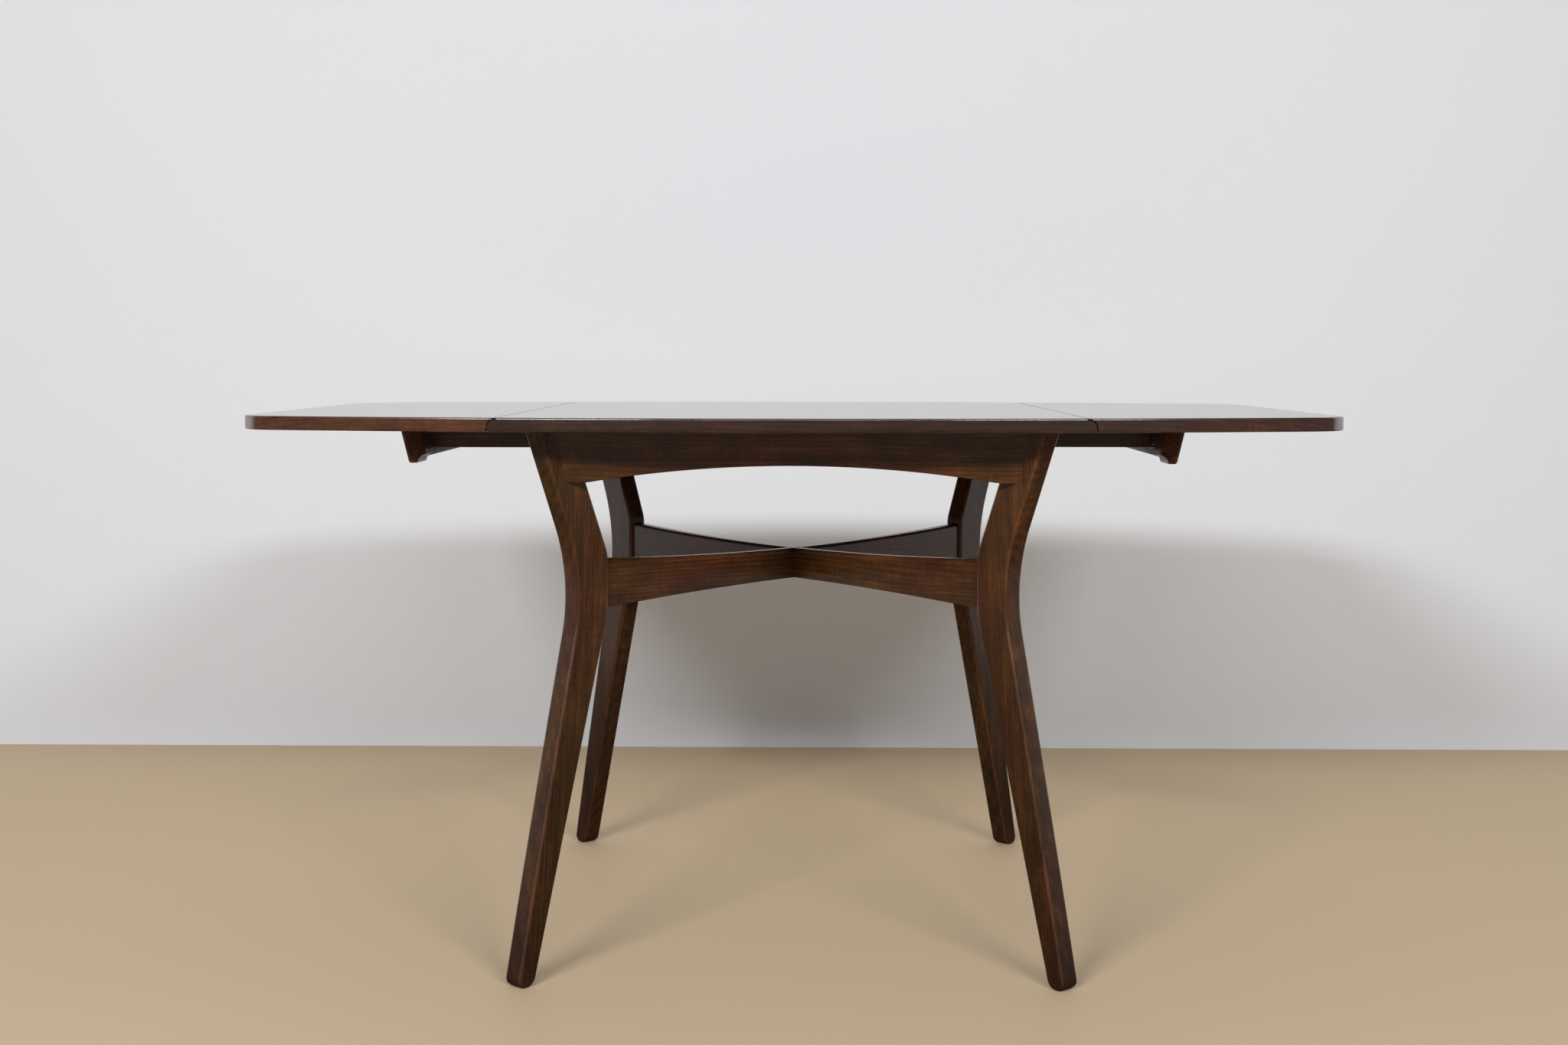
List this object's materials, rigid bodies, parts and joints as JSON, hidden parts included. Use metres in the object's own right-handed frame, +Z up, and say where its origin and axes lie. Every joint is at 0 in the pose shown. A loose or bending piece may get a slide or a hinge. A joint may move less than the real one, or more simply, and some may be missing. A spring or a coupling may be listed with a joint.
{
  "type": "drop-leaf dining table",
  "caption": "Wooden dining table with a bowed top, rule-jointed drop leaves held by pull-out rails, curved legs set on the diagonals and crossed stretchers.",
  "frame": {"origin": "on the floor below the middle of the top", "axes": "+X along the open table towards its right leaf, +Y from the front apron to the back one, +Z up"},
  "size_m": [1.43, 0.916, 0.74],
  "materials": {
    "top": "satin lacquer on dark walnut",
    "frame_wood": "satin lacquer on dark walnut",
    "inner_wood": "thin matt lacquer",
    "hinges": "plain steel, slightly dulled",
    "screws": "plain steel"
  },
  "bodies": {
    "frame": {"apron_back": "frame_wood", "apron_front": "frame_wood", "cross_rail_left": "inner_wood", "cross_rail_middle": "inner_wood", "cross_rail_right": "inner_wood", "hinge_left_back_fixed_flap": "hinges", "hinge_left_back_pin": "hinges", "hinge_left_front_fixed_flap": "hinges", "hinge_left_front_pin": "hinges", "hinge_right_back_fixed_flap": "hinges", "hinge_right_back_pin": "hinges", "hinge_right_front_fixed_flap": "hinges", "hinge_right_front_pin": "hinges", "leg_back_left": "frame_wood", "leg_back_right": "frame_wood", "leg_front_left": "frame_wood", "leg_front_right": "frame_wood", "stretcher_over": "frame_wood", "stretcher_under": "frame_wood", "top_centre": "top", "top_screws": "screws"},
    "support_left": {"end_rail_left": "frame_wood", "loper_left_back": "inner_wood", "loper_left_front": "inner_wood", "loper_stop_left_back": "inner_wood", "loper_stop_left_front": "inner_wood"},
    "support_right": {"end_rail_right": "frame_wood", "loper_right_back": "inner_wood", "loper_right_front": "inner_wood", "loper_stop_right_back": "inner_wood", "loper_stop_right_front": "inner_wood"},
    "leaf_left": {"hinge_left_back_moving_flap": "hinges", "hinge_left_front_moving_flap": "hinges", "leaf_left": "top"},
    "leaf_right": {"hinge_right_back_moving_flap": "hinges", "hinge_right_front_moving_flap": "hinges", "leaf_right": "top"}
  },
  "joints": [
    {"name": "support_left_slide", "type": "slide", "parent": "frame", "child": "support_left", "axis": [1, 0, 0], "range_m": [0, 0.165]},
    {"name": "support_right_slide", "type": "slide", "parent": "frame", "child": "support_right", "axis": [-1, 0, 0], "range_m": [0, 0.165]},
    {"name": "leaf_left_lift", "type": "hinge", "parent": "frame", "child": "leaf_left", "pos_m": [-0.369, 0, 0.727], "axis": [0, 1, 0], "range_deg": [0, 2.5]},
    {"name": "leaf_right_lift", "type": "hinge", "parent": "frame", "child": "leaf_right", "pos_m": [0.369, 0, 0.727], "axis": [0, -1, 0], "range_deg": [0, 2.5]}
  ]
}
